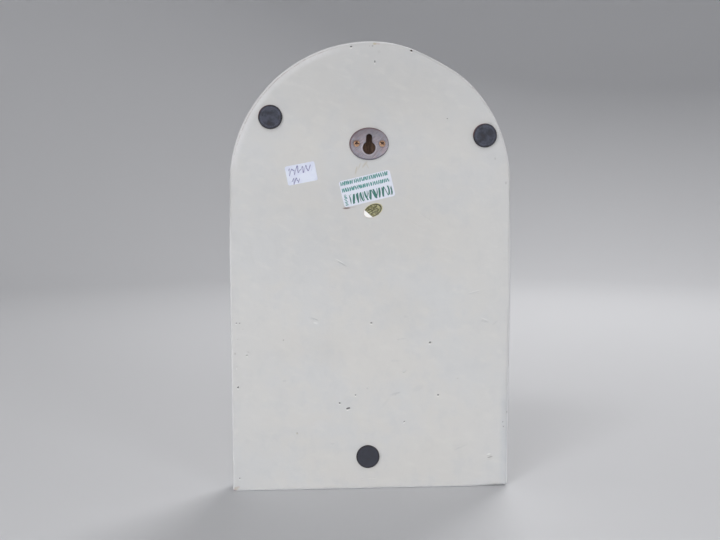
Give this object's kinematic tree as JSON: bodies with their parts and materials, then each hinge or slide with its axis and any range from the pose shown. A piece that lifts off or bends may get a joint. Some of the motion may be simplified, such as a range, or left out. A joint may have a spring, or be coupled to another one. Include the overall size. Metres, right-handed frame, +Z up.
{
  "type": "decorative wall plaque",
  "caption": "Arched cast wall plaque with a moulded border and a palmette in relief, hung by a keyhole plate on its padded back.",
  "frame": {"origin": "the nail's seat: the centre of the keyhole slot's round top, in the plane of the wall that the pads' faces touch", "axes": "+Z up as the plaque hangs, +Y into the wall, -Y out of the decorated front, +X to the right seen from the front"},
  "size_m": [0.228, 0.024, 0.3639],
  "materials": {
    "painted_casting": "matte",
    "hanger_steel": "satin",
    "screw_brass": "satin",
    "pad_foam": "matte",
    "label_paper": "satin",
    "sticker_paper": "satin",
    "seal_foil": "gloss"
  },
  "bodies": {
    "root": {"plaque_casting": "painted_casting", "keyhole_hanger": "hanger_steel", "hanger_screw_left": "screw_brass", "hanger_screw_right": "screw_brass", "wall_pad_upper_left": "pad_foam", "wall_pad_upper_right": "pad_foam", "wall_pad_lower": "pad_foam", "paper_label": "label_paper", "stock_sticker": "sticker_paper", "foil_seal": "seal_foil"}
  },
  "joints": []
}
